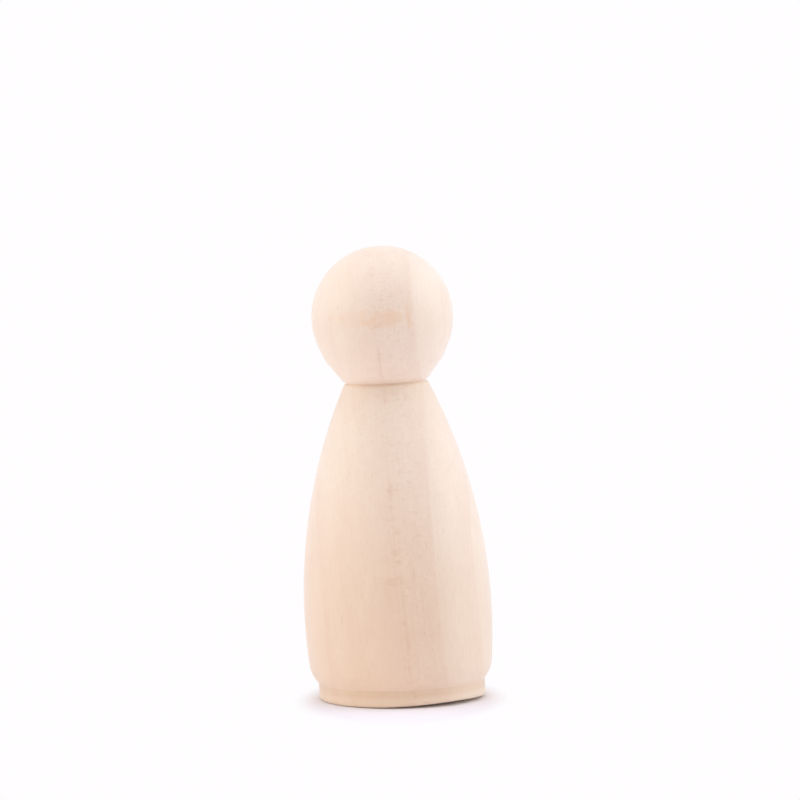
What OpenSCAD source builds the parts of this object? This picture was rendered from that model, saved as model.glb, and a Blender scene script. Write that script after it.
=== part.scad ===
// A plain peg doll, turned in one piece from a stick of pale hardwood. A ball head runs down in
// two short cones to a crease at the neck. The bell of the body swells out below it, turns in
// over a rounded hem, and stands on a low foot with a flat base.
// The turning axis is Z, and the base lies on z = 0.

/* [Whole doll] */
// Height from the base to the top of the head
total_height = 43; // [40:0.5:50]

/* [Head] */
// Diameter of the ball
head_diameter = 13.4; // [13:0.1:14.4]
// Angle between the axis and the cheek, the short cone on which the ball runs out
cheek_angle = 24; // [18:1:26]
// Length of the cheek, from the ball down to the chin
cheek_length = 1.4; // [0.8:0.1:2]
// Angle between the axis and the chin, the cone that runs in to the neck
chin_angle = 38; // [32:1:44]
// Radius of the soft edge between cheek and chin
chin_edge_radius = 2; // [0.5:0.1:2.5]

/* [Neck] */
// Diameter where the chin would meet the flank of the body
neck_diameter = 7.8; // [6.8:0.1:8.6]
// Height of the groove that the tool's point left there
groove_width = 0.36; // [0.1:0.02:0.6]
// Depth of that groove
groove_depth = 0.2; // [0.1:0.02:0.4]

/* [Body] */
// Diameter at the belly, the widest place
body_diameter = 17.8; // [16.4:0.1:19.4]
// Height of the belly above the base
belly_height = 8.2; // [6.8:0.1:9.6]
// Radius of the hem, the rounding at the foot of the flank
hem_radius = 3.1; // [2:0.1:3.8]

/* [Foot] */
// How far the foot's wall stands in from the line of the flank
foot_inset = 0.6; // [0.3:0.05:1]
// Height of the foot, up to the crease under the hem
foot_height = 1.7; // [1.2:0.1:2.2]
// Radius of the worn edge round the base
base_edge_radius = 0.25; // [0.1:0.05:0.5]

/* [Hidden] */
$fn = 180;

// Bare wood as the eye sees it
wood_colour = [0.93, 0.83, 0.74];

// How far a helping shape reaches past what it cuts or joins
overrun = 1;
// How far arcs and lines that touch smoothly overlap, so that they meet in one clean edge
touch = 0.001;

// The cheek is a line that just touches the ball
head_r = head_diameter / 2;
head_centre = [0, total_height - head_r];
cheek_top = head_centre + (head_r - touch) * [cos(cheek_angle), -sin(cheek_angle)];
chin_top = cheek_top - cheek_length * [sin(cheek_angle), cos(cheek_angle)];

// The neck is where the chin's cone has come in to the neck's diameter
neck_r = neck_diameter / 2;
neck_z = chin_top.y - (chin_top.x - neck_r) / tan(chin_angle);

// The soft edge under the cheek is an arc that touches both cones
edge_reach = chin_edge_radius * tan((chin_angle - cheek_angle) / 2);
edge_top = chin_top + edge_reach * [sin(cheek_angle), cos(cheek_angle)];
edge_foot = chin_top - edge_reach * [sin(chin_angle), cos(chin_angle)];
edge_centre = edge_top + (chin_edge_radius - touch) * [-cos(cheek_angle), sin(cheek_angle)];

// The flank is one arc that stands upright at the belly and passes through the neck
body_r = body_diameter / 2;
flank_rise = neck_z - belly_height;
flank_step = body_r - neck_r;
flank_radius = (pow(flank_rise, 2) + pow(flank_step, 2)) / (2 * flank_step);
flank_centre = [body_r - flank_radius, belly_height];

function flank_r(z) = flank_centre.x + sqrt(pow(flank_radius, 2) - pow(z - belly_height, 2));

// The hem is an arc that leaves the flank smoothly and passes through the crease over the foot
foot_r = flank_r(foot_height) - foot_inset;
crease = [foot_r - flank_centre.x, belly_height - foot_height];
hem_reach = flank_radius - hem_radius + touch;
hem_turn = acos((pow(hem_reach, 2) + pow(norm(crease), 2) - pow(hem_radius, 2))
                / (2 * hem_reach * norm(crease)));
hem_angle = atan2(crease.y, crease.x) - hem_turn;
hem_centre = flank_centre + hem_reach * [cos(hem_angle), -sin(hem_angle)];
hem_top_z = belly_height - flank_radius * sin(hem_angle);

// A band of the half outline, from the axis out to a radius
module band(low, high, reach) {
    translate([0, low])
        square([reach, high - low]);
}

// A disc in the half outline, cut off at two heights and at the axis
module disc(centre, radius, low, high) {
    intersection() {
        translate(centre)
            circle(r = radius);
        band(low, high, centre.x + radius + overrun);
    }
}

module head_outline() {
    under_neck = neck_z - overrun;
    disc(head_centre, head_r, chin_top.y, total_height + overrun);
    disc(edge_centre, chin_edge_radius, neck_z, total_height);
    polygon([
        [0, under_neck],
        [neck_r - overrun * tan(chin_angle), under_neck],
        edge_foot,
        edge_top,
        cheek_top,
        [0, cheek_top.y]
    ]);
}

module body_outline() {
    intersection() {
        disc(flank_centre, flank_radius, 0, neck_z + overrun);
        union() {
            band(hem_top_z, neck_z + overrun, body_r + overrun);
            disc(hem_centre, hem_radius, base_edge_radius, hem_centre.y);
        }
    }
}

// The foot's wall runs up inside the hem, and the crease is where it comes out
module foot_outline() {
    wall_in_r = foot_r - base_edge_radius;
    band(base_edge_radius, hem_centre.y, foot_r);
    band(0, hem_centre.y, wall_in_r);
    disc([wall_in_r, base_edge_radius], base_edge_radius, 0, foot_height);
}

// The groove is a notch whose sides run from its tip through the chin above and the flank below
module neck_groove() {
    tip_r = neck_r - groove_depth;
    half_width = groove_width / 2;
    mouth_r = neck_r + half_width * tan(chin_angle);
    far_r = mouth_r + overrun;
    polygon([
        [tip_r, neck_z],
        [far_r, neck_z + half_width * (far_r - tip_r) / (mouth_r - tip_r)],
        [far_r, neck_z - half_width * (far_r - tip_r) / (flank_r(neck_z - half_width) - tip_r)]
    ]);
}

module turned_doll() {
    color(wood_colour)
        rotate_extrude()
            difference() {
                union() {
                    head_outline();
                    body_outline();
                    foot_outline();
                }
                neck_groove();
            }
}

turned_doll();
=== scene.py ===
# %% [markdown]
# A peg doll, turned from one stick of pale hardwood and left bare.
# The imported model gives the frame: the doll stands on z = 0, its turning axis is Z, and one
# unit is one metre. Here the doll gets its finished surface, its wood, a floor, soft light and
# the camera that looks at it.

import math

import bmesh
import bpy
from mathutils import Matrix, Vector
from mathutils.bvhtree import BVHTree


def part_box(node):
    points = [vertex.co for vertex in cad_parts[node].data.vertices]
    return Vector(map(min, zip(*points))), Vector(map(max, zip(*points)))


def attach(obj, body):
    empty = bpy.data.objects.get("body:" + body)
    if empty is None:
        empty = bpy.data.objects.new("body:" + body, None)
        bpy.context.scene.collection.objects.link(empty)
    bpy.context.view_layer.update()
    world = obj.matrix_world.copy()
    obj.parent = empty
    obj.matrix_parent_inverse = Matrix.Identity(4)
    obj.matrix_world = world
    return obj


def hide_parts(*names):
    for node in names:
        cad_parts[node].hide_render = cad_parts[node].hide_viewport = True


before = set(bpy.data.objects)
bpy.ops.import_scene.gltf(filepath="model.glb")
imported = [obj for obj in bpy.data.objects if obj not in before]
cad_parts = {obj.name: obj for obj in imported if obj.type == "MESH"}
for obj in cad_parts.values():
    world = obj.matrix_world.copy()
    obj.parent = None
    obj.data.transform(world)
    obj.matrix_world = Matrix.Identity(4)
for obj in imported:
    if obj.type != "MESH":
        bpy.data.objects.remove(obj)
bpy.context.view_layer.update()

MM = 0.001
low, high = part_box("turned_doll")
total_height = high.z - low.z
body_r = (high.x - low.x) / 2
print("height", round(total_height / MM, 3), "mm, belly radius", round(body_r / MM, 3), "mm")

# %% [markdown]
# The outline. A turner holds a profile against the doll: ball, cheek, chin, neck, flank, hem
# and foot. The same few sizes rebuild it here. It could be drawn as a curve, but the points of
# a bmesh can be spun on true arcs, and each corner can be softened on its own. First come the
# places where one stretch of the outline meets the next.

# %% Sizes of the outline
head_r = 13.4 * MM / 2
cheek_angle = math.radians(24)
cheek_length = 1.4 * MM
chin_angle = math.radians(38)
chin_edge_radius = 2.0 * MM
neck_r = 7.8 * MM / 2
groove_width = 0.36 * MM
groove_depth = 0.2 * MM
belly_height = 8.2 * MM
hem_radius = 3.1 * MM
foot_inset = 0.6 * MM
foot_height = 1.7 * MM
base_edge_radius = 0.25 * MM


def point(radius, height):
    """A point of the half outline, in the plane y = 0."""
    return Vector((radius, 0, height))


# The cheek touches the ball, and an arc softens the edge between cheek and chin
head_centre = point(0, total_height - head_r)
cheek_down = point(-math.sin(cheek_angle), -math.cos(cheek_angle))
cheek_top = head_centre + head_r * point(math.cos(cheek_angle), -math.sin(cheek_angle))
chin_top = cheek_top + cheek_length * cheek_down
edge_reach = chin_edge_radius * math.tan((chin_angle - cheek_angle) / 2)
edge_top = chin_top - edge_reach * cheek_down
edge_centre = edge_top + chin_edge_radius * point(-math.cos(cheek_angle), math.sin(cheek_angle))
neck_z = chin_top.z - (chin_top.x - neck_r) / math.tan(chin_angle)
print("neck at", round(neck_z / MM, 3), "mm")

# %% Sizes of the flank and the hem
# The flank is an arc that stands upright at the belly and passes through the neck
flank_step = body_r - neck_r
flank_radius = ((neck_z - belly_height) ** 2 + flank_step ** 2) / (2 * flank_step)
flank_centre = point(body_r - flank_radius, belly_height)


def flank_r(height):
    """Radius of the flank at a height."""
    rise = height - belly_height
    return flank_centre.x + math.sqrt(flank_radius ** 2 - rise ** 2)


# The hem leaves the flank smoothly and ends at the crease. Its centre, the crease and the
# flank's centre are the corners of a triangle with three known sides.
foot_r = flank_r(foot_height) - foot_inset
crease = point(foot_r, foot_height) - flank_centre
hem_reach = flank_radius - hem_radius
squares = hem_reach ** 2 + crease.length_squared - hem_radius ** 2
crease_turn = math.acos(squares / (2 * hem_reach * crease.length))
hem_angle = math.atan2(-crease.z, crease.x) - crease_turn
hem_centre = flank_centre + hem_reach * point(math.cos(hem_angle), -math.sin(hem_angle))
print("hem centre", [round(c / MM, 3) for c in hem_centre])

# %% [markdown]
# Two helpers draw the outline. An arc is one vertex, spun round the arc's centre, and a
# straight stretch is one vertex, extruded in short steps. Each helper takes the vertex where
# the outline has got to, and returns the vertex at its new end, so the calls below read from
# the top of the head to the base.

# %% Helpers for the outline
outline_step = 0.17 * MM
least_arc_steps = 3
outline = bmesh.new()


def arc(start, centre, turn):
    """Spins the last vertex round a centre. A positive turn runs from the top to the side."""
    steps = max(least_arc_steps, round((start.co - centre).length * abs(turn) / outline_step))
    made = bmesh.ops.spin(outline, geom=[start], cent=centre, axis=(0, 1, 0),
                          angle=turn, steps=steps)
    return made["geom_last"][0]


def line(start, end):
    """Extrudes the last vertex along a straight line, in short steps."""
    origin = start.co.copy()
    steps = max(1, round((end - origin).length / outline_step))
    for count in range(steps):
        start = bmesh.ops.extrude_vert_indiv(outline, verts=[start])["verts"][0]
        start.co = origin.lerp(end, (count + 1) / steps)
    return start


def angle_round(centre, place):
    """Angle of a place round a centre, from the top towards the side."""
    return math.atan2(place.x - centre.x, place.z - centre.z)


# %% Draw the outline
half_groove = groove_width / 2
groove_top = point(neck_r + half_groove * math.tan(chin_angle), neck_z + half_groove)
groove_tip = point(neck_r - groove_depth, neck_z)
groove_foot = point(flank_r(neck_z - half_groove), neck_z - half_groove)
hem_top = flank_centre + flank_radius * point(math.cos(hem_angle), -math.sin(hem_angle))
crease_point = point(foot_r, foot_height)
flank_turn = angle_round(flank_centre, hem_top) - angle_round(flank_centre, groove_foot)
hem_turn = angle_round(hem_centre, crease_point) - angle_round(hem_centre, hem_top)
base_corner = point(foot_r - base_edge_radius, base_edge_radius)

place = outline.verts.new(point(0, total_height))
place = arc(place, head_centre, math.pi / 2 + cheek_angle)
place = line(place, edge_top)
place = arc(place, edge_centre, chin_angle - cheek_angle)
place = line(place, groove_top)
corners = {"groove top": place}
place = line(place, groove_tip)
corners["groove tip"] = place
place = line(place, groove_foot)
corners["groove foot"] = place
place = arc(place, flank_centre, flank_turn)
place = arc(place, hem_centre, hem_turn)
corners["crease"] = place
place = line(place, point(foot_r, base_edge_radius))
place = arc(place, base_corner, math.pi / 2)
place = line(place, point(0, 0))
print("outline of", len(outline.verts), "points")

# %% [markdown]
# Sanding and tumbling leave no razor edges. On the finished mesh a Bevel modifier would have
# to find four rings of edges. On the outline each ring is still one vertex, so a bevel of that
# vertex rounds it, with a profile of 0.5 for a true arc.

# %% Soften the corners
# How far each bevel reaches from its corner, in millimetres
softness = {"groove top": 0.1, "groove tip": 0.07, "groove foot": 0.1, "crease": 0.12}
corner_segments = 4
for name, corner in corners.items():
    bmesh.ops.bevel(outline, geom=[corner], offset=softness[name] * MM, offset_type="OFFSET",
                    segments=corner_segments, profile=0.5, affect="VERTICES", material=-1)
print("outline of", len(outline.verts), "points with its corners softened")

# %% [markdown]
# The lathe turns the outline round Z. A Screw modifier would do it too, but a spin here lets
# the mesh be closed and worn straight away. The spin merges its own seam, and the two poles are
# closed by merging the doubles there. The faces are then turned to point outwards.

# %% Turn the doll
turning_steps = 240
merge_distance = 0.0002 * MM
bmesh.ops.spin(outline, geom=outline.verts[:] + outline.edges[:], cent=(0, 0, 0),
               axis=(0, 0, 1), angle=math.tau, steps=turning_steps, use_merge=True)
bmesh.ops.remove_doubles(outline, verts=outline.verts[:], dist=merge_distance)
bmesh.ops.recalc_face_normals(outline, faces=outline.faces[:])
open_edges = [edge for edge in outline.edges if len(edge.link_faces) != 2]
print(len(outline.verts), "vertices,", len(outline.faces), "faces,", len(open_edges), "open edges")

# %% Compare it with the solid
depsgraph = bpy.context.evaluated_depsgraph_get()
solid_tree = BVHTree.FromObject(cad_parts["turned_doll"], depsgraph)
worst = max(solid_tree.find_nearest(vertex.co)[3] for vertex in outline.verts)
print("furthest from the solid", round(worst / MM, 4), "mm")

# %% [markdown]
# The foot of this doll was cut a little off square: the crease over it falls away to +x by
# about one degree, and the base by two. The edge of the base is worn, least at the back left
# and most at the front right, where a dark gap shows between wood and floor. A tilted cutter
# would leave thin slivers of faces, so both are small shifts of the vertices instead. The lean
# fades out up the hem, and the wear fades out up the foot's wall.

# %% Sizes of the lean and the wear
crease_lean = math.tan(math.radians(0.95))
base_lean = math.tan(math.radians(2.0))
lean_fades_from = 2.2 * MM
lean_fades_to = 5.5 * MM
least_wear = 0.01 * MM
most_wear = 0.37 * MM
least_undercut = 0.4 * MM
most_undercut = 2.2 * MM
wear_fades_to = 1.0 * MM
# The most worn side, as an angle from +x towards +y, and how closely the wear keeps to it
worn_side = math.radians(-48)
wear_focus = 6


def smooth(value, start, end):
    """0 before start, 1 after end and a smooth step between."""
    share = min(1.0, max(0.0, (value - start) / (end - start)))
    return share * share * (3 - 2 * share)


def mix(low_value, high_value, share):
    """A value part of the way from one to another."""
    return low_value + (high_value - low_value) * share


# %% Lean the foot and wear its edge
for vertex in outline.verts:
    x, y, z = vertex.co
    worn = (0.5 + 0.5 * math.cos(math.atan2(y, x) - worn_side)) ** wear_focus
    undercut = mix(least_undercut, most_undercut, worn)
    rim = smooth(math.hypot(x, y), foot_r - undercut, foot_r - base_edge_radius)
    wear_left = 1 - smooth(z, base_edge_radius, wear_fades_to)
    lift = mix(least_wear, most_wear, worn) * rim * wear_left
    lean_left = 1 - smooth(z, lean_fades_from, lean_fades_to)
    lean = mix(base_lean, crease_lean, smooth(z, 0, foot_height)) * lean_left
    vertex.co.z += lift - lean * x
print("base leans by", round(math.degrees(math.atan(base_lean)), 2), "degrees")

# %% [markdown]
# The mesh becomes the doll's object, which stays at the origin, unturned and unscaled. The
# plain solid could be given a material as it is, but it has sharp corners and a square foot. So
# this mesh takes its place, rides on the doll's only body, and is of the record's bare wood.

# %% Make the doll
doll_mesh = bpy.data.meshes.new("peg_doll")
outline.to_mesh(doll_mesh)
outline.free()
for polygon in doll_mesh.polygons:
    polygon.use_smooth = True
doll = bpy.data.objects.new("peg_doll", doll_mesh)
bpy.context.collection.objects.link(doll)
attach(doll, "root")
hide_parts("turned_doll")
print("lowest point", round(min(v.co.z for v in doll_mesh.vertices) / MM, 3), "mm")

# %% [markdown]
# Node helpers. By hand, a node takes one line to add it and one more for each value or link. A
# shader graph is easier to read when one line makes one node, so small helpers feed a socket,
# make a node, do a sum, make a smooth step, and make and place a node group. A value may be a
# number or another socket.


# %% Node helpers
def feed(tree, socket, value):
    """Links a socket to another one, or sets it to a value."""
    if isinstance(value, bpy.types.NodeSocket):
        tree.links.new(value, socket)
    else:
        socket.default_value = value


def add(tree, kind, settings=None, **inputs):
    """Makes one node. Settings are its properties, and inputs its sockets by name."""
    made = tree.nodes.new(kind)
    for name, value in (settings or {}).items():
        setattr(made, name, value)
    for name, value in inputs.items():
        feed(tree, made.inputs[name.replace("_", " ")], value)
    return made


def sum_of(tree, operation, *values, clamp=False):
    """A Math node on up to three values."""
    made = tree.nodes.new("ShaderNodeMath")
    made.operation = operation
    made.use_clamp = clamp
    for socket, value in zip(made.inputs, values):
        feed(tree, socket, value)
    return made.outputs[0]


def step(tree, value, start, end, low_value=0.0, high_value=1.0):
    """A smooth step from one value to another while the input runs from start to end."""
    made = add(tree, "ShaderNodeMapRange", {"interpolation_type": "SMOOTHSTEP"},
               From_Min=start, From_Max=end, To_Min=low_value, To_Max=high_value)
    feed(tree, made.inputs["Value"], value)
    return made.outputs["Result"]


# %% Helpers for node groups
def new_group(name, inputs, outputs):
    """A node group with named sockets, each a name, a kind and for inputs a default value."""
    tree = bpy.data.node_groups.new(name, "ShaderNodeTree")
    for label, kind, value in inputs:
        socket = tree.interface.new_socket(label, in_out="INPUT", socket_type=kind)
        if value is not None:
            socket.default_value = value
    for label, kind in outputs:
        tree.interface.new_socket(label, in_out="OUTPUT", socket_type=kind)
    given = tree.nodes.new("NodeGroupInput").outputs
    result = tree.nodes.new("NodeGroupOutput").inputs
    return tree, given, result


def place_group(tree, group, **inputs):
    """Places a node group in a tree and returns its outputs."""
    made = tree.nodes.new("ShaderNodeGroup")
    made.node_tree = group
    for name, value in inputs.items():
        feed(tree, made.inputs[name.replace("_", " ")], value)
    return made.outputs


# %% [markdown]
# Wood is fine across the grain and long along it, but a Noise texture has one scale for all
# directions. So a Mapping node squeezes space before the noise reads it, with its own number of
# features per unit along each axis. Detail is the number of finer layers, and roughness is how
# much of its strength each finer layer keeps.

# %% Stretched noise
noise_roughness = 0.55


def stretched_noise(tree, vector, scale, detail):
    """Noise from -1 to 1 with its own size along each axis, in features per unit."""
    sized = add(tree, "ShaderNodeMapping", {"vector_type": "POINT"}, Vector=vector, Scale=scale)
    noise = add(tree, "ShaderNodeTexNoise", {"noise_dimensions": "3D"},
                Vector=sized.outputs["Vector"], Scale=1.0, Detail=detail,
                Roughness=noise_roughness)
    return sum_of(tree, "MULTIPLY_ADD", noise.outputs["Fac"], 2.0, -1.0)


# %% [markdown]
# A flat picture of wood could be wrapped round the doll, but its lines would not meet on the
# crown. Here the doll is carved out of a pattern that fills space, as it was out of its stick.
# The pattern is worked out in the stick's own coordinates, in millimetres, with the grain along
# Z. On this doll the grain leans two and a half degrees off the turning axis.

# %% Stick coordinates
# How far the grain leans, and the height in millimetres about which it leans
grain_lean = math.radians(2.46)
grain_pivot = 36.0


def build_stick():
    """Object coordinates in metres to the stick's coordinates in millimetres."""
    tree, given, result = new_group(
        "stick_coordinates",
        [("Position", "NodeSocketVector", None)],
        [("Stick", "NodeSocketVector")])
    scaled = add(tree, "ShaderNodeMapping", {"vector_type": "POINT"}, Vector=given["Position"],
                 Scale=(1 / MM, 1 / MM, 1 / MM), Location=(0, 0, -grain_pivot))
    turned = add(tree, "ShaderNodeMapping", {"vector_type": "POINT"},
                 Vector=scaled.outputs["Vector"], Rotation=(0, grain_lean, 0))
    feed(tree, result["Stick"], turned.outputs["Vector"])
    return tree


stick_group = build_stick()
print("stick coordinates made of", len(stick_group.nodes), "nodes")

# %% [markdown]
# Growth rings. The pith lay far outside this stick, on its -x side, so the rings cross the doll
# as nearly flat sheets: crisp upright lines at the front and back, broad arches at the sides.
# A ring is pale after its inner edge and darkens slowly to the next one. A Wave texture makes
# rings that are all alike, but each ring of the real doll has its own width and depth, so a
# colour ramp across the stick holds them one by one.

# %% Growth rings
pith_distance = 70.0
ring_span = 12.0
# Places across the stick, in millimetres from the axis, and how dark the wood is there.
# Two places close together make the sharp edge where one year's growth ends.
ring_tones = [
    (-12.0, 0.25),
    (-7.9, 0.30), (-7.75, 0.42), (-7.0, 0.29),
    (-4.3, 0.36), (-3.9, 0.32),
    (-2.2, 0.42), (-1.0, 0.52), (-0.48, 0.56), (-0.38, 0.64), (-0.28, 0.52),
    (1.4, 0.54), (3.02, 0.62), (3.34, 0.38),
    (4.8, 0.32), (5.6, 0.35), (6.35, 0.46), (6.7, 0.24),
    (7.6, 0.30), (10.0, 0.46), (10.4, 0.24),
    (12.0, 0.28),
]
# How far the rings wander, slowly and finely, in millimetres. The scales here and below are
# in features per millimetre along each axis.
ring_drift = 0.2
ring_waver = 0.16
drift_scale = (0.10, 0.25, 0.06)
waver_scale = (0.8, 1.2, 0.45)
# The rings are stronger in some parts of the stick than in others
middle_tone = 0.44
mean_contrast = 0.85
contrast_change = 0.9
contrast_scale = (0.12, 0.12, 0.11)
# The pale wood changes its colour over this distance, in millimetres, on both sides of the axis
outward_reach = 5.0


# %% Build the rings
def ring_distance(tree, given):
    """Distance across the rings from the axis, in millimetres, with the rings' own waves."""
    drift = stretched_noise(tree, given["Stick"], drift_scale, detail=1.0)
    waver = stretched_noise(tree, given["Stick"], waver_scale, detail=3.0)
    parts = add(tree, "ShaderNodeSeparateXYZ", Vector=given["Stick"])
    out = sum_of(tree, "ADD", parts.outputs["X"], pith_distance)
    squares = sum_of(tree, "ADD", sum_of(tree, "MULTIPLY", out, out),
                     sum_of(tree, "MULTIPLY", parts.outputs["Y"], parts.outputs["Y"]))
    distance = sum_of(tree, "SUBTRACT", sum_of(tree, "SQRT", squares), pith_distance)
    distance = sum_of(tree, "MULTIPLY_ADD", drift, given["Drift"], distance)
    return sum_of(tree, "MULTIPLY_ADD", waver, given["Waver"], distance)


def build_rings():
    """How dark the year's growth is at a place in the stick."""
    tree, given, result = new_group(
        "growth_rings",
        [("Stick", "NodeSocketVector", None), ("Drift", "NodeSocketFloat", ring_drift),
         ("Waver", "NodeSocketFloat", ring_waver)],
        [("Depth", "NodeSocketFloat"), ("Outward", "NodeSocketFloat")])
    distance = ring_distance(tree, given)
    share = add(tree, "ShaderNodeMapRange", From_Min=-ring_span, From_Max=ring_span)
    feed(tree, share.inputs["Value"], distance)
    ramp = add(tree, "ShaderNodeValToRGB", Fac=share.outputs["Result"])
    stops = ramp.color_ramp.elements
    for end, (_, tone) in zip(stops, (ring_tones[0], ring_tones[-1])):
        end.color = (tone, tone, tone, 1)
    for place_across, tone in ring_tones[1:-1]:
        stop = stops.new((place_across + ring_span) / (2 * ring_span))
        stop.color = (tone, tone, tone, 1)
    contrast = stretched_noise(tree, given["Stick"], contrast_scale, detail=1.0)
    contrast = sum_of(tree, "MULTIPLY_ADD", contrast, contrast_change, mean_contrast)
    away = sum_of(tree, "SUBTRACT", ramp.outputs["Color"], middle_tone)
    feed(tree, result["Depth"], sum_of(tree, "MULTIPLY_ADD", away, contrast, middle_tone))
    feed(tree, result["Outward"], step(tree, distance, -outward_reach, outward_reach))
    return tree


ring_group = build_rings()
print("growth rings made of", len(ring_tones), "tones and", len(ring_group.nodes), "nodes")

# %% [markdown]
# Fibres and vessels. Bare hardwood shows fine streaks along the grain, and here and there a
# vessel that was cut open, a dark dash about a tenth of a millimetre wide. The streaks are
# noises stretched along Z, and the dashes are the middles of long cells. Drawn strokes would do
# on the sides, but these shrink to dots on the crown and the base, as on real end grain.

# %% Fibres
# The streaks lie in thin sheets and in single threads
sheet_scale = (5.0, 0.5, 0.10)
thread_scale = (9.0, 7.0, 0.45)


def build_fibres():
    """Fine streaks along the grain, about -1 to 1."""
    tree, given, result = new_group(
        "long_fibres",
        [("Stick", "NodeSocketVector", None)],
        [("Streak", "NodeSocketFloat")])
    sheets = stretched_noise(tree, given["Stick"], sheet_scale, detail=3.0)
    threads = stretched_noise(tree, given["Stick"], thread_scale, detail=2.0)
    feed(tree, result["Streak"], sum_of(tree, "ADD", sheets, threads))
    return tree


fibre_group = build_fibres()
print("fibres made of", len(fibre_group.nodes), "nodes")

# %% Open vessels
# Width and length of the cells in millimetres, and the share of cells with a vessel
wide_vessels = {"Width": 0.34, "Length": 1.7, "Share": 0.25}
fine_vessels = {"Width": 0.16, "Length": 0.7, "Share": 0.35}
# A dash is dark in the core of its cell and has faded at the edge, both as shares of a cell
dash_core = 0.12
dash_edge = 0.34
faintest_dash = 0.3


def build_dashes():
    """Short dashes along the grain, as a mask from 0 to 1."""
    tree, given, result = new_group(
        "open_vessels",
        [("Stick", "NodeSocketVector", None),
         ("Width", "NodeSocketFloat", wide_vessels["Width"]),
         ("Length", "NodeSocketFloat", wide_vessels["Length"]),
         ("Share", "NodeSocketFloat", wide_vessels["Share"])],
        [("Dash", "NodeSocketFloat")])
    across = sum_of(tree, "DIVIDE", 1.0, given["Width"])
    along = sum_of(tree, "DIVIDE", 1.0, given["Length"])
    scale = add(tree, "ShaderNodeCombineXYZ", X=across, Y=across, Z=along)
    cells = add(tree, "ShaderNodeVectorMath", {"operation": "MULTIPLY"})
    feed(tree, cells.inputs[0], given["Stick"])
    feed(tree, cells.inputs[1], scale.outputs["Vector"])
    dots = add(tree, "ShaderNodeTexVoronoi", {"voronoi_dimensions": "3D", "feature": "F1"},
               Vector=cells.outputs["Vector"], Scale=1.0, Randomness=1.0)
    inside = step(tree, dots.outputs["Distance"], dash_core, dash_edge, 1.0, 0.0)
    # Each cell has a random colour: its red picks the cells in use, its green their strength
    parts = add(tree, "ShaderNodeSeparateColor", Color=dots.outputs["Color"])
    chosen = sum_of(tree, "LESS_THAN", parts.outputs["Red"], given["Share"])
    strength = sum_of(tree, "MULTIPLY_ADD", parts.outputs["Green"],
                      1 - faintest_dash, faintest_dash)
    dash = sum_of(tree, "MULTIPLY", sum_of(tree, "MULTIPLY", inside, chosen), strength)
    feed(tree, result["Dash"], dash)
    return tree


vessel_group = build_dashes()
print("open vessels made of", len(vessel_group.nodes), "nodes")

# %% [markdown]
# Rays. These thin ribbons run from the pith outwards, here along X. Where the surface lies in
# their plane, at the middle of the front and back, they show as a mottled, lustrous patch with
# short level marks. On the sides they are cut across and show as fine upright ticks. Flat cells
# could make them, but noise gives flecks of many sizes, so there are two noises that are
# longest along X: one for the dark flecks, and one for the pale.

# %% Rays
# The scale of each noise, and between which of its values a fleck fades in
dark_scale = (1.3, 6.0, 3.2)
dark_fade = (0.10, 0.45)
pale_scale = (3.0, 7.0, 4.2)
pale_fade = (0.22, 0.55)
# Where the patch has its middle across the stick, and how far it reaches, in millimetres. The
# flecks are full within a share of this reach, and from its end on this much of them is left.
ray_middle = 0.7
ray_reach = 2.8
ray_core = 0.3
ray_rest = 0.3


def build_rays():
    """Ray flecks: dark ones above zero and pale ones below."""
    tree, given, result = new_group(
        "ray_flecks",
        [("Stick", "NodeSocketVector", None), ("Middle", "NodeSocketFloat", ray_middle),
         ("Reach", "NodeSocketFloat", ray_reach)],
        [("Fleck", "NodeSocketFloat")])
    dark = stretched_noise(tree, given["Stick"], dark_scale, detail=2.0)
    dark = step(tree, dark, *dark_fade)
    pale = stretched_noise(tree, given["Stick"], pale_scale, detail=1.0)
    pale = step(tree, pale, *pale_fade)
    fleck = sum_of(tree, "SUBTRACT", dark, pale)
    across = add(tree, "ShaderNodeSeparateXYZ", Vector=given["Stick"]).outputs["X"]
    away = sum_of(tree, "ABSOLUTE", sum_of(tree, "SUBTRACT", across, given["Middle"]))
    away = sum_of(tree, "DIVIDE", away, given["Reach"])
    strength = step(tree, away, ray_core, 1.0, 1.0, ray_rest)
    feed(tree, result["Fleck"], sum_of(tree, "MULTIPLY", fleck, strength))
    return tree


ray_group = build_rays()
print("rays made of", len(ray_group.nodes), "nodes")

# %% [markdown]
# Marks. A few marks make this doll that doll: a broad fleck with ticks beside it across the
# middle of the face, a fine line below it, a spindle on the body, and on the belly a ladder of
# level flecks on a line that runs down to the foot. They could be painted, but that needs an
# unwrapped mesh, so each is a soft spot in the stick, and one noise breaks up all their
# outlines. The fleck and its ticks are the colour of honey, and the others are browner, so
# there are two lists.

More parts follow.
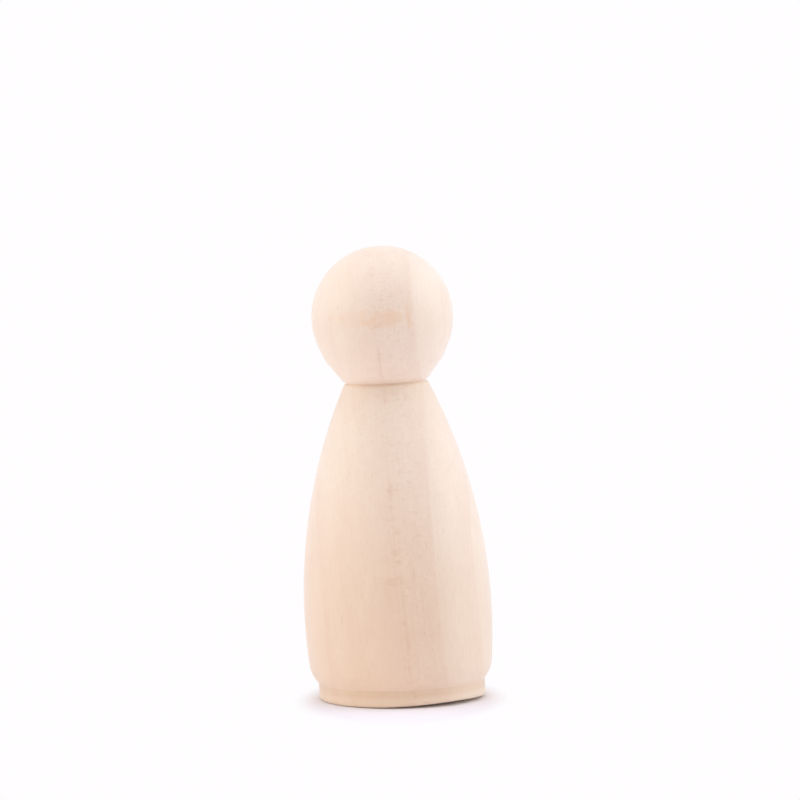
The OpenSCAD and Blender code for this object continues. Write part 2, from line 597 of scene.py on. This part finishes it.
# %% Marks
# Across and height of the middle, half width and half height in millimetres, and strength
face_marks = [
    (0.35, 36.45, 2.00, 1.00, 0.16),
    (0.95, 36.50, 0.95, 0.75, 0.12),
    (-0.95, 36.10, 0.45, 0.85, 0.12),
    (2.45, 36.45, 0.30, 1.15, 0.22),
    (-1.80, 36.60, 0.35, 0.85, 0.14),
    (-2.40, 36.80, 2.20, 0.85, 0.07),
    (-3.80, 36.85, 0.22, 0.50, 0.14),
    (-4.70, 36.95, 0.20, 0.50, 0.14),
]
other_marks = [
    (-0.60, 41.00, 0.40, 0.60, 0.12),
    (-0.60, 32.30, 0.13, 1.80, 0.20),
    (-0.50, 28.80, 0.10, 0.60, 0.10),
    (-0.72, 20.50, 0.26, 0.65, 0.26),
    (-0.80, 19.00, 0.55, 0.20, 0.20),
    (-0.95, 17.85, 0.60, 0.22, 0.17),
    (-0.46, 16.60, 0.35, 0.50, 0.16),
    (-0.78, 14.80, 0.45, 0.40, 0.22),
    (-0.58, 13.85, 0.35, 0.25, 0.15),
    (-1.15, 12.15, 0.85, 0.50, 0.17),
    (-0.70, 8.25, 0.35, 0.30, 0.15),
    (-3.80, 13.50, 0.16, 0.60, 0.14),
    (-0.55, 7.50, 0.18, 5.20, 0.13),
    (0.80, 11.00, 3.20, 7.50, 0.08),
]
print(len(face_marks), "honey marks and", len(other_marks), "brown ones")

# %% Soft spots
# A spot is full in its core and gone at its edge, both as shares of its half size. It lies on
# the front alone, and is full by this place along Y, in millimetres.
spot_core = 0.55
spot_edge = 1.15
spot_front = -1.0


def build_spot():
    """One soft spot on the front, as a mask from 0 to 1."""
    tree, given, result = new_group(
        "soft_spot",
        [("Stick", "NodeSocketVector", None), ("Broken", "NodeSocketFloat", 0.0),
         ("Across", "NodeSocketFloat", 0.0), ("Height", "NodeSocketFloat", 0.0),
         ("Half Width", "NodeSocketFloat", 1.0), ("Half Height", "NodeSocketFloat", 1.0)],
        [("Mask", "NodeSocketFloat")])
    parts = add(tree, "ShaderNodeSeparateXYZ", Vector=given["Stick"])
    height = sum_of(tree, "ADD", parts.outputs["Z"], grain_pivot)
    across = sum_of(tree, "SUBTRACT", parts.outputs["X"], given["Across"])
    across = sum_of(tree, "DIVIDE", across, given["Half Width"])
    along = sum_of(tree, "SUBTRACT", height, given["Height"])
    along = sum_of(tree, "DIVIDE", along, given["Half Height"])
    squares = sum_of(tree, "ADD", sum_of(tree, "MULTIPLY", across, across),
                     sum_of(tree, "MULTIPLY", along, along))
    distance = sum_of(tree, "ADD", sum_of(tree, "SQRT", squares), given["Broken"])
    inside = step(tree, distance, spot_edge, spot_core)
    front = step(tree, parts.outputs["Y"], 0.0, spot_front)
    feed(tree, result["Mask"], sum_of(tree, "MULTIPLY", inside, front))
    return tree


spot_group = build_spot()
print("soft spot made of", len(spot_group.nodes), "nodes")

# %% Stains from the marks and the vessels
# The noise that breaks up the outlines, and how far it moves them as a share of a half size
broken_scale = (2.6, 0.5, 1.9)
broken_share = 0.75
vessel_stain = 0.24


def add_marks(tree, stick, broken, marks, stain):
    """Adds a list of marks to a stain and returns how far they all stain the wood."""
    for across, height, half_width, half_height, strength in marks:
        spot = place_group(tree, spot_group, Stick=stick, Broken=broken,
                           Across=across, Height=height,
                           Half_Width=half_width, Half_Height=half_height)["Mask"]
        stain = sum_of(tree, "MULTIPLY_ADD", spot, strength, stain)
    return stain


def wood_stains(tree, stick, dashes):
    """Two stains: honey on the face, and brown from the vessels and the other marks."""
    ragged = stretched_noise(tree, stick, broken_scale, detail=3.0)
    broken = sum_of(tree, "MULTIPLY", ragged, broken_share)
    honey = add_marks(tree, stick, broken, face_marks, 0.0)
    vessels = sum_of(tree, "MULTIPLY", dashes, vessel_stain)
    brown = add_marks(tree, stick, broken, other_marks, vessels)
    return honey, brown


# %% [markdown]
# Painted shade. The neck's groove and the corner under the hem lie in the shade of the chin and
# the hem, and that shade is painted into the colour there as a darker band. In the groove it is
# painted at the front and hardly at the sides. The wall of the foot is painted paler, as painted
# light under the hem. Masks painted in an image would need an unwrapped mesh, so these masks come
# from the place on the doll alone.

# %% Painted shade in the groove and under the hem
# The wall's mask fades over this distance on both sides of the crease
mask_edge = 0.06 * MM
# The height of the band of painted shade under the hem, and how much of it the rest of the wall
# gets
hem_shade_band = 1.0 * MM
wall_shade_rest = 0.25
# The reach of the painted shade round the groove, how far above the neck it lies, and its strength
neck_shade_reach = 0.45 * MM
neck_shade_rise = 0.10 * MM
neck_shade_share = 0.45
# Along Y, as shares of the neck's radius, where the painted shade in the groove starts to grow and
# where it is full, and how much of it is left at the sides
shade_front_fade = (-0.6, -0.95)
side_shade_share = 0.1


def wall_and_shade_masks(tree, where):
    """Two masks: the wall of the foot, and where it and the neck's groove get painted shade."""
    parts = add(tree, "ShaderNodeSeparateXYZ", Vector=where)
    level = sum_of(tree, "MULTIPLY_ADD", parts.outputs["X"], crease_lean, parts.outputs["Z"])
    wall = step(tree, level, foot_height + mask_edge, foot_height - mask_edge)
    # Painted shade under the hem: full in a band at the top of the wall, weaker below
    near = step(tree, level, foot_height - hem_shade_band, foot_height - hem_shade_band / 2,
                wall_shade_rest, 1.0)
    # Painted shade in the neck's groove, just under the chin, strongest at the front
    from_neck = sum_of(tree, "SUBTRACT", parts.outputs["Z"], neck_z + neck_shade_rise)
    from_neck = sum_of(tree, "ABSOLUTE", from_neck)
    neck = step(tree, from_neck, neck_shade_reach, groove_width / 2, 0.0, neck_shade_share)
    front = step(tree, parts.outputs["Y"], shade_front_fade[0] * neck_r, shade_front_fade[1] * neck_r,
                 side_shade_share, 1.0)
    neck = sum_of(tree, "MULTIPLY", neck, front)
    return wall, sum_of(tree, "MAXIMUM", sum_of(tree, "MULTIPLY", wall, near), neck)


# %% [markdown]
# Tone and colour. The patterns add up to one depth of tone. Pale wood is warmer towards the pith
# and the foot, and greyer towards the bark, so four pale colours are mixed by place. One colour
# ramp could shade them, but growth, honey marks, brown marks and the painted shade in the groove
# and under the hem each have a hue of their own. So each is a layer that multiplies the colour, as
# glazes of thin paint would.

# %% Colours of the wood
inner_crown = (0.987, 0.838, 0.648, 1)
outer_crown = (0.918, 0.818, 0.675, 1)
inner_foot = (0.919, 0.721, 0.513, 1)
outer_foot = (0.862, 0.728, 0.566, 1)
# Shares of the doll's height where the crown's colours end and the foot's are reached
crown_share = 0.62
foot_share = 0.15
unshaded = (1, 1, 1, 1)
deep_shade = (0.855, 0.70, 0.64, 1)
honey_shade = (0.98, 0.71, 0.43, 1)
brown_shade = (0.82, 0.70, 0.54, 1)
# The colour of the painted shade in the neck's groove and under the hem
painted_crease_shade = (0.93, 0.875, 0.82, 1)
# A Mix node has sockets for every kind of data, and these are the ones for colours
first_colour, second_colour, mixed_colour = 6, 7, 2


def colour_mix(tree, factor, first, second, blend="MIX"):
    """A Mix node on two colours."""
    made = add(tree, "ShaderNodeMix", {"data_type": "RGBA", "blend_type": blend})
    feed(tree, made.inputs["Factor"], factor)
    feed(tree, made.inputs[first_colour], first)
    feed(tree, made.inputs[second_colour], second)
    return made.outputs[mixed_colour]


def pale_wood(tree, where, outward):
    """The colour of unshaded wood at a place on the doll."""
    height = add(tree, "ShaderNodeSeparateXYZ", Vector=where).outputs["Z"]
    lower = step(tree, height, total_height * crown_share, total_height * foot_share)
    crown = colour_mix(tree, outward, inner_crown, outer_crown)
    foot = colour_mix(tree, outward, inner_foot, outer_foot)
    return colour_mix(tree, lower, crown, foot)


# %% Depth of tone
# Three plain noises, from broad to fine
mottle_scale = (0.5, 0.5, 0.3)
figure_scale = (1.2, 1.2, 0.8)
nap_scale = (3.4, 3.4, 2.6)
# How much each pattern adds to the depth, and how much paler the foot's wall is painted, as
# painted light under the hem
pattern_strengths = {"streak": 0.10, "specks": 0.16, "fleck": 0.25,
                     "mottle": 0.14, "figure": 0.10, "nap": 0.07}
painted_wall_lift = 0.2


def tone_depth(tree, stick, growth, streak, specks, wall):
    """How deep the growth and all the small patterns shade the wood, from 0 to 1."""
    patterns = {
        "streak": streak,
        "specks": specks,
        "fleck": place_group(tree, ray_group, Stick=stick)["Fleck"],
        "mottle": stretched_noise(tree, stick, mottle_scale, detail=3.0),
        "figure": stretched_noise(tree, stick, figure_scale, detail=2.0),
        "nap": stretched_noise(tree, stick, nap_scale, detail=1.0),
    }
    depth = growth
    for name, strength in pattern_strengths.items():
        depth = sum_of(tree, "MULTIPLY_ADD", patterns[name], strength, depth)
    # The foot's wall is painted paler here: painted light under the hem
    return sum_of(tree, "MULTIPLY_ADD", wall, -painted_wall_lift, depth, clamp=True)


# %% [markdown]
# The material. Roughness and a very small bump follow the fibres, and an open vessel is a tiny
# trench. Sanded bare wood has a nap of fine fibre ends that pales towards the outline, which is
# the shader's sheen. A coat would be wrong here, because nothing seals the wood.

# %% Bare wood
plain_roughness = 0.56
streak_roughness = 0.06
vessel_relief = -0.6
bump_strength = 0.5
bump_height = 0.010 * MM
sheen_weight = 0.45
sheen_roughness = 0.5


def build_wood():
    """The material of the doll."""
    material = bpy.data.materials.new("bare_wood")
    material.use_nodes = True
    tree = material.node_tree
    shader = tree.nodes["Principled BSDF"]
    where = add(tree, "ShaderNodeTexCoord").outputs["Object"]
    stick = place_group(tree, stick_group, Position=where)["Stick"]
    rings = place_group(tree, ring_group, Stick=stick)
    streak = place_group(tree, fibre_group, Stick=stick)["Streak"]
    dashes = place_group(tree, vessel_group, Stick=stick, **wide_vessels)["Dash"]
    specks = place_group(tree, vessel_group, Stick=stick, **fine_vessels)["Dash"]

    wall, crease_shade = wall_and_shade_masks(tree, where)
    depth = tone_depth(tree, stick, rings["Depth"], streak, specks, wall)
    honey, brown = wood_stains(tree, stick, dashes)
    colour = pale_wood(tree, where, rings["Outward"])
    # The last layer is the painted shade in the neck's groove and under the hem
    layers = ((depth, deep_shade), (honey, honey_shade), (brown, brown_shade),
              (crease_shade, painted_crease_shade))
    for strength, shade in layers:
        glaze = colour_mix(tree, strength, unshaded, shade)
        colour = colour_mix(tree, 1.0, colour, glaze, "MULTIPLY")
    feed(tree, shader.inputs["Base Color"], colour)

    rough = sum_of(tree, "MULTIPLY_ADD", streak, streak_roughness, plain_roughness)
    feed(tree, shader.inputs["Roughness"], rough)
    relief = sum_of(tree, "MULTIPLY_ADD", dashes, vessel_relief, streak)
    bump = add(tree, "ShaderNodeBump", Strength=bump_strength, Distance=bump_height,
               Height=relief)
    feed(tree, shader.inputs["Normal"], bump.outputs["Normal"])
    shader.inputs["Sheen Weight"].default_value = sheen_weight
    shader.inputs["Sheen Roughness"].default_value = sheen_roughness
    return material


doll.data.materials.append(build_wood())
print("wood made of", len(doll.data.materials[0].node_tree.nodes), "nodes")

# %% [markdown]
# The floor is a plain pale sheet that keeps the doll's shadow, and it lies against the doll's
# base. A sheet that curves up behind the doll could hide the horizon. A flat one is simpler, and
# away from the doll it turns white for the camera. Near the doll, in a soft oval, the camera sees
# a slightly deeper tone than the one that lights the doll from below, which is painted shade that
# deepens the doll's shadow there.

# %% Colours of the floor
floor_reach = 3.0
floor_colour = (0.95, 0.915, 0.945, 1)
# The deeper tone the camera sees near the doll, painted shade that deepens its shadow
shaded_seen_colour = (0.87, 0.838, 0.84, 1)
white = (1.0, 0.985, 1.0, 1)
# The oval's middle lies this far in front of the axis. Its inner and outer radius are measured
# along Y, and along X it is narrower.
oval_forward = 2 * MM
oval_narrowing = 1.65
oval_inner = 12.8 * MM
oval_outer = 17.4 * MM


def seen_directly(tree):
    """1 for what the camera sees, also by gloss or through glass, and 0 for light on the doll."""
    path = add(tree, "ShaderNodeLightPath")
    seen = sum_of(tree, "MAXIMUM", path.outputs["Is Camera Ray"], path.outputs["Is Glossy Ray"])
    return sum_of(tree, "MAXIMUM", seen, path.outputs["Is Transmission Ray"])


def outside_oval(tree):
    """0 in the oval round the doll and 1 away from it."""
    where = add(tree, "ShaderNodeTexCoord").outputs["Object"]
    shaped = add(tree, "ShaderNodeMapping", {"vector_type": "POINT"}, Vector=where,
                 Location=(0, oval_forward, 0), Scale=(oval_narrowing, 1, 0))
    distance = add(tree, "ShaderNodeVectorMath", {"operation": "LENGTH"})
    feed(tree, distance.inputs[0], shaped.outputs["Vector"])
    return step(tree, distance.outputs["Value"], oval_inner, oval_outer)


def build_floor_material():
    """Pale near the doll, white further off, and clear from below."""
    material = bpy.data.materials.new("pale_floor")
    material.use_nodes = True
    tree = material.node_tree
    tree.nodes.clear()
    result = tree.nodes.new("ShaderNodeOutputMaterial")
    seen = seen_directly(tree)
    # Near the doll the camera sees the deeper tone: painted shade that deepens the doll's shadow
    tone = colour_mix(tree, seen, floor_colour, shaded_seen_colour)
    paper = add(tree, "ShaderNodeBsdfDiffuse", Color=tone)
    glow = add(tree, "ShaderNodeEmission", Color=white, Strength=1.0)
    lift = sum_of(tree, "MULTIPLY", seen, outside_oval(tree))
    face = add(tree, "ShaderNodeMixShader", Fac=lift)
    feed(tree, face.inputs[1], paper.outputs["BSDF"])
    feed(tree, face.inputs[2], glow.outputs["Emission"])
    clear = add(tree, "ShaderNodeBsdfTransparent")
    below = add(tree, "ShaderNodeNewGeometry").outputs["Backfacing"]
    sides = add(tree, "ShaderNodeMixShader", Fac=below)
    feed(tree, sides.inputs[1], face.outputs["Shader"])
    feed(tree, sides.inputs[2], clear.outputs["BSDF"])
    feed(tree, result.inputs["Surface"], sides.outputs["Shader"])
    return material


# %% Floor
floor_bm = bmesh.new()
bmesh.ops.create_grid(floor_bm, x_segments=1, y_segments=1, size=floor_reach)
for vertex in floor_bm.verts:
    vertex.co.z -= base_lean * vertex.co.x
floor_mesh = bpy.data.meshes.new("floor")
floor_bm.to_mesh(floor_mesh)
floor_bm.free()
floor = bpy.data.objects.new("floor", floor_mesh)
bpy.context.collection.objects.link(floor)
floor.data.materials.append(build_floor_material())
print("floor of", 2 * floor_reach, "by", 2 * floor_reach, "m")

# %% [markdown]
# Light. A product table: an even white room, with a tall soft lamp on each side, so the doll's
# outline is lighter than its middle, and a slightly cool one above and just in front of it. The
# world lights the doll at a plain level and shows the camera plain white. An image of a studio
# would do the same, but plain lamps are easier to set one by one.

# %% World
world_level = 0.68
world = bpy.data.worlds.new("white_room")
bpy.context.scene.world = world
world.use_nodes = True
tree = world.node_tree
strength = sum_of(tree, "MULTIPLY_ADD", seen_directly(tree), 1 - world_level, world_level)
background = tree.nodes["Background"]
feed(tree, background.inputs["Color"], white)
feed(tree, background.inputs["Strength"], strength)
print("world lights the doll at", world_level)


# %% Lamps
def soft_lamp(name, place, width, height, level, colour=(1, 1, 1)):
    """A rectangular lamp that faces the doll and lights it at a level, where 1 is white."""
    aim = Vector((0, 0, total_height / 2)) - Vector(place)
    lamp = bpy.data.lights.new(name, "AREA")
    lamp.shape = "RECTANGLE"
    lamp.size = width
    lamp.size_y = height
    lamp.color = colour
    lamp.energy = level * math.pi ** 2 * aim.length_squared
    holder = bpy.data.objects.new(name, lamp)
    bpy.context.collection.objects.link(holder)
    facing = aim.to_track_quat("-Z", "Y").to_matrix().to_4x4()
    holder.matrix_world = Matrix.Translation(place) @ facing
    print(name, round(lamp.energy, 3), "W at", round(aim.length, 3), "m")


soft_lamp("left_lamp", place=(-0.50, 0.05, 0.20), width=0.4, height=0.5, level=0.22)
soft_lamp("right_lamp", place=(0.50, 0.05, 0.20), width=0.4, height=0.5, level=0.32)
soft_lamp("top_lamp", place=(0.0, -0.05, 0.60), width=0.5, height=0.5, level=0.42,
          colour=(0.92, 1.0, 1.28))

# %% [markdown]
# The camera stands a little under half a metre away and a little above the doll: the foot's
# ellipse is fuller than the neck's, which tells how near it stood. The doll leans to the left
# in the picture. Turning the doll would do it, but it is upright here, so the camera rolls.

# %% Camera
camera_distance = 0.45
camera_height = 66 * MM
aim_point = Vector((1.25 * MM, 0, 28.31 * MM))
camera_roll = math.radians(3.07)
lens = 214.7
sensor_width = 36.0

camera_data = bpy.data.cameras.new("camera")
camera_data.lens = lens
camera_data.sensor_width = sensor_width
camera_data.clip_start = 0.05
camera_data.clip_end = 20.0
camera = bpy.data.objects.new("camera", camera_data)
bpy.context.collection.objects.link(camera)
camera_place = Vector((aim_point.x, -camera_distance, camera_height))
facing = (aim_point - camera_place).to_track_quat("-Z", "Y").to_matrix().to_4x4()
roll = Matrix.Rotation(-camera_roll, 4, "Z")
camera.matrix_world = Matrix.Translation(camera_place) @ facing @ roll
bpy.context.scene.camera = camera
bpy.context.scene.view_settings.view_transform = "Standard"
print("camera at", [round(c, 4) for c in camera_place], "m with a lens of", lens, "mm")
